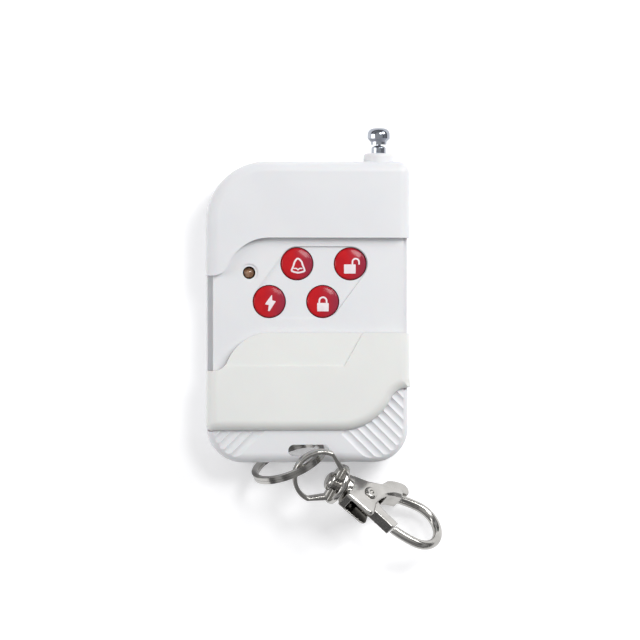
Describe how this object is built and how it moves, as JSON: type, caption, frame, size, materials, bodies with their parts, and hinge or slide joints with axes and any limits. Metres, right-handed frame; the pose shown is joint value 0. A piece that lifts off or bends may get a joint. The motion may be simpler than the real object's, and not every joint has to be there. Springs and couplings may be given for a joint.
{
  "type": "garage door remote",
  "caption": "Pocket garage door remote with a slide cover, red buttons, a telescopic antenna, a split ring and a swivel lobster clasp.",
  "frame": {"origin": "centre of the flat back of the housing, which lies on the surface", "axes": "+Z out of the button side, +Y towards the antenna, +X to the right seen from the front"},
  "size_m": [0.0586, 0.1039, 0.0187],
  "materials": {
    "shell_white": "satin, finely textured",
    "button_red": "gloss",
    "button_crimson": "gloss",
    "amber_lens": "clear gloss",
    "bright_chrome": "mirror",
    "nickel_plate": "polished",
    "spring_steel": "drawn wire",
    "screw_steel": "zinc plated",
    "board_green": "solder mask",
    "chip_black": "moulded",
    "can_nickel": "satin",
    "tin_plate": "satin",
    "ceramic": "fired",
    "copper_wire": "enamelled",
    "cell_wrap": "shrink film",
    "switch_black": "moulded"
  },
  "bodies": {
    "housing": {"rear_shell": "shell_white", "front_shell": "shell_white", "circuit_board": "board_green", "encoder_chip": "chip_black", "transistor": "chip_black", "saw_resonator": "can_nickel", "resistors": "chip_black", "capacitors": "ceramic", "led_lens": "amber_lens", "led_leads": "tin_plate", "antenna_coil": "copper_wire", "battery": "cell_wrap", "battery_spring": "spring_steel", "battery_plate": "tin_plate", "antenna_outer_tube": "bright_chrome", "antenna_bracket": "tin_plate", "case_screws": "screw_steel", "antenna_screw": "screw_steel", "switch_bell": "switch_black", "switch_unlock": "switch_black", "switch_bolt": "switch_black", "switch_lock": "switch_black"},
    "slide_cover": {"slide_cover": "shell_white"},
    "button_bell": {"button_bell": "button_red", "plunger_bell": "switch_black"},
    "button_unlock": {"button_unlock": "button_crimson", "plunger_unlock": "switch_black"},
    "button_bolt": {"button_bolt": "button_red", "plunger_bolt": "switch_black"},
    "button_lock": {"button_lock": "button_crimson", "plunger_lock": "switch_black"},
    "battery_door": {"battery_door": "shell_white"},
    "antenna_2": {"antenna_tube_2": "bright_chrome"},
    "antenna_3": {"antenna_tube_3": "bright_chrome"},
    "antenna_tip": {"antenna_tip_rod": "bright_chrome"},
    "split_ring": {"split_ring": "nickel_plate"},
    "swivel_eye": {"swivel_eye": "nickel_plate"},
    "clasp": {"clasp_body": "nickel_plate", "clasp_rivet": "nickel_plate", "clasp_spring": "spring_steel"},
    "clasp_lever": {"clasp_lever": "nickel_plate"}
  },
  "joints": [
    {"name": "cover_slide", "type": "slide", "parent": "housing", "child": "slide_cover", "axis": [0, 1, 0], "range_m": [0, 0.0232]},
    {"name": "bell_press", "type": "slide", "parent": "housing", "child": "button_bell", "axis": [0, 0, -1], "range_m": [0, 0.0005], "stiffness_N_per_m": 2500, "springref_m": -0.0002},
    {"name": "unlock_press", "type": "slide", "parent": "housing", "child": "button_unlock", "axis": [0, 0, -1], "range_m": [0, 0.0005], "stiffness_N_per_m": 2500, "springref_m": -0.0002},
    {"name": "bolt_press", "type": "slide", "parent": "housing", "child": "button_bolt", "axis": [0, 0, -1], "range_m": [0, 0.0005], "stiffness_N_per_m": 2500, "springref_m": -0.0002},
    {"name": "lock_press", "type": "slide", "parent": "housing", "child": "button_lock", "axis": [0, 0, -1], "range_m": [0, 0.0005], "stiffness_N_per_m": 2500, "springref_m": -0.0002},
    {"name": "door_hinge", "type": "hinge", "parent": "housing", "child": "battery_door", "pos_m": [0, -0.01005, 0.0002], "axis": [1, 0, 0], "range_deg": [0, 70]},
    {"name": "antenna_draw_1", "type": "slide", "parent": "housing", "child": "antenna_2", "axis": [0, 1, 0], "range_m": [0, 0.036]},
    {"name": "antenna_draw_2", "type": "slide", "parent": "antenna_2", "child": "antenna_3", "axis": [0, 1, 0], "range_m": [0, 0.036]},
    {"name": "antenna_draw_3", "type": "slide", "parent": "antenna_3", "child": "antenna_tip", "axis": [0, 1, 0], "range_m": [0, 0.036]},
    {"name": "ring_swing", "type": "hinge", "parent": "housing", "child": "split_ring", "pos_m": [0, -0.0362, 0.0105], "axis": [1, 0, 0], "range_deg": [-25, 0]},
    {"name": "eye_swing", "type": "hinge", "parent": "split_ring", "child": "swivel_eye", "pos_m": [0.00139, -0.03648, 0.01586], "axis": [-0.6219, -0.4825, 0.6169], "range_deg": [-30, 30]},
    {"name": "clasp_swivel", "type": "hinge", "parent": "swivel_eye", "child": "clasp", "pos_m": [0.007, -0.0423, 0.0132], "axis": [0.8754, -0.4082, -0.2588], "continuous": true},
    {"name": "lever_open", "type": "hinge", "parent": "clasp", "child": "clasp_lever", "pos_m": [0.01412, -0.04599, 0.01144], "axis": [0.471, 0.6003, 0.6463], "range_deg": [0, 25], "stiffness_Nm_per_rad": 0.05, "springref_deg": -20.05}
  ]
}
